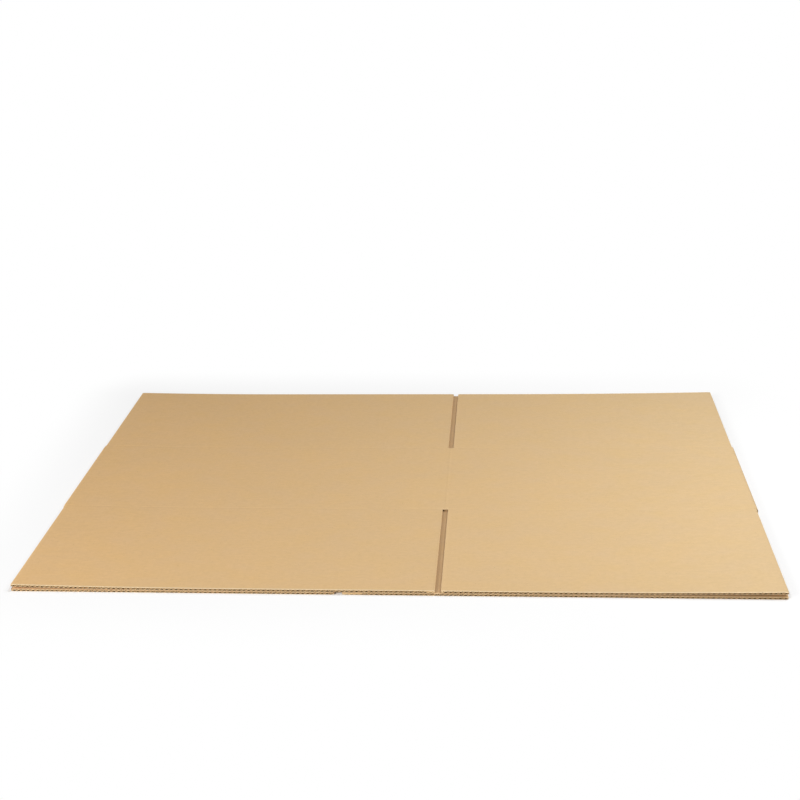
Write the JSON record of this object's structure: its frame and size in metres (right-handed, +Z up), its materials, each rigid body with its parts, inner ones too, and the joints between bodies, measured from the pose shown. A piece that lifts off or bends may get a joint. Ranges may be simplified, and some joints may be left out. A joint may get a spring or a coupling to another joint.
{
  "type": "flattened cardboard box",
  "caption": "Slotted corrugated cardboard box, folded flat, with open flutes at its flap edges, pressed creases, rounded folds and a lapped, glued joint.",
  "frame": {"origin": "middle of the underside, on the surface that the box lies on", "axes": "+X along the long edge towards the upper layer's short panel, +Y along the flutes from the front flaps to the back flaps, +Z up"},
  "size_m": [1.006, 0.649, 0.0105],
  "materials": {
    "kraft_board": "unprinted brown kraft paper, matt"
  },
  "bodies": {
    "root": {"flattened_box": "kraft_board"}
  },
  "joints": []
}
